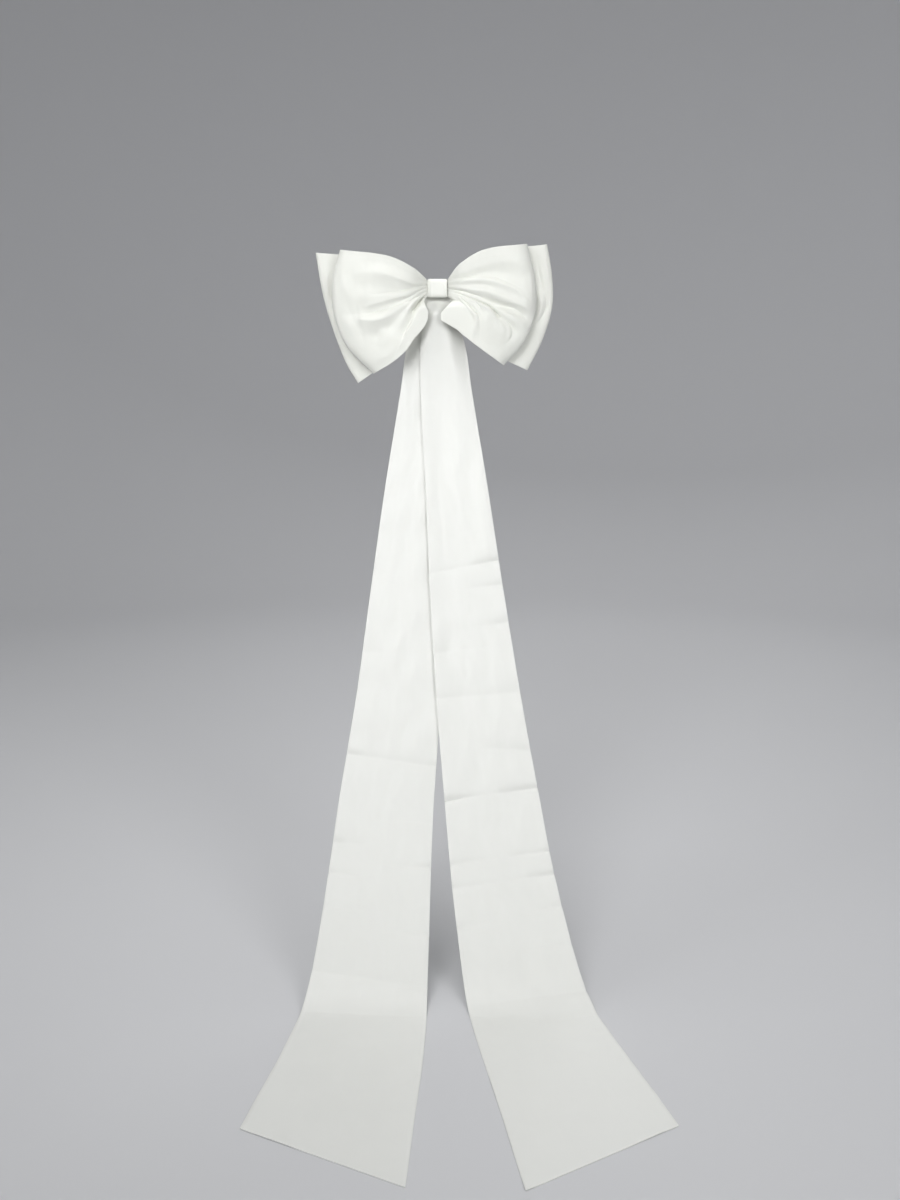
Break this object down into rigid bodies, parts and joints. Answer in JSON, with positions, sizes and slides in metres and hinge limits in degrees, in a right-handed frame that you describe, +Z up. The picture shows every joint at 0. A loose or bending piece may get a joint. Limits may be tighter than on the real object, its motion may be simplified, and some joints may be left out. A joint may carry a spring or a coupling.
{
  "type": "detachable bow sash",
  "caption": "Two-tier pleated satin bow with a wrapped square knot and long flared tails that fall from the waist and lie out on the floor.",
  "frame": {"origin": "the point at the back of the knot where the pin goes through into the waist of what is worn below", "axes": "+X to the right as someone behind the wearer sees it, +Y towards the wearer's back, +Z up; the bow faces -Y"},
  "size_m": [0.6648, 1.1475, 1.3332],
  "materials": {
    "loop_satin": "ivory white satin with a soft sheen",
    "knot_satin": "ivory white satin with a soft sheen",
    "tail_satin": "ivory white satin with a soft sheen"
  },
  "bodies": {
    "root": {"front_loop_left": "loop_satin", "front_loop_right": "loop_satin", "back_loop_left": "loop_satin", "back_loop_right": "loop_satin", "knot_band": "knot_satin", "tail_left": "tail_satin", "tail_right": "tail_satin"}
  },
  "joints": []
}
